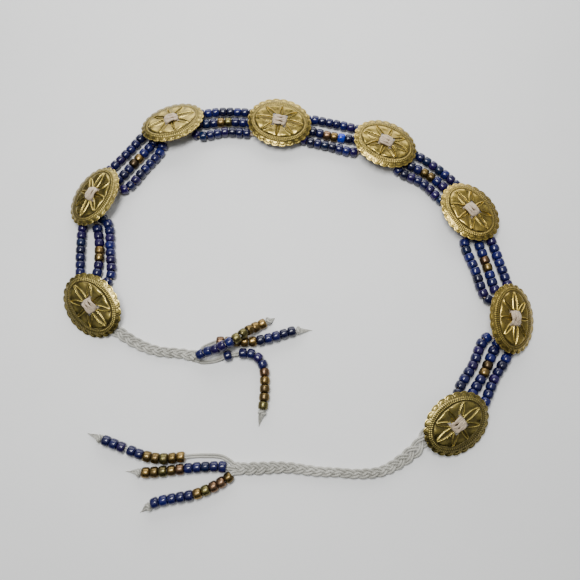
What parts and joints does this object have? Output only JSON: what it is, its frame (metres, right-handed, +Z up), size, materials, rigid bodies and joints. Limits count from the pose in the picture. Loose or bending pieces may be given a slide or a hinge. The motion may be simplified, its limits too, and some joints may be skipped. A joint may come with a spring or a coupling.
{
  "type": "beaded belt",
  "caption": "tie belt of slotted oval scalloped metal conchos joined by rows of barrel beads on cord, with braided cord ties and beaded tassels, laid open in an arc",
  "frame": {"origin": "on the table, at the middle of the belt's footprint", "axes": "+Z up from the table, +X to the right and +Y away from the camera, with the mouth of the arc to the lower left between the two ties"},
  "size_m": [0.3182, 0.2849, 0.0179],
  "materials": {
    "brass": "antiqued, olive brown patina in the hollows, worn bright on the ridges",
    "beads": "opaque, glossy, navy to purple, with some beads in a metallic bronze coating",
    "cord": "waxed, light grey, braided"
  },
  "bodies": {
    "root": {"concho_1": "brass", "concho_2": "brass", "concho_3": "brass", "concho_4": "brass", "concho_5": "brass", "concho_6": "brass", "concho_7": "brass", "concho_8": "brass", "lacing_1": "cord", "lacing_2": "cord", "lacing_3": "cord", "lacing_4": "cord", "lacing_5": "cord", "lacing_6": "cord", "lacing_7": "cord", "lacing_8": "cord", "string_1_outer": "beads", "string_1_middle": "beads", "string_1_inner": "beads", "string_2_outer": "beads", "string_2_middle": "beads", "string_2_inner": "beads", "string_3_outer": "beads", "string_3_middle": "beads", "string_3_inner": "beads", "string_4_outer": "beads", "string_4_middle": "beads", "string_4_inner": "beads", "string_5_outer": "beads", "string_5_middle": "beads", "string_5_inner": "beads", "string_6_outer": "beads", "string_6_middle": "beads", "string_6_inner": "beads", "string_7_outer": "beads", "string_7_middle": "beads", "string_7_inner": "beads", "braid_left": "cord", "braid_right": "cord", "tassel_left_1": "beads", "tassel_left_2": "beads", "tassel_left_3": "beads", "tassel_right_1": "beads", "tassel_right_2": "beads", "tassel_right_3": "beads"}
  },
  "joints": []
}
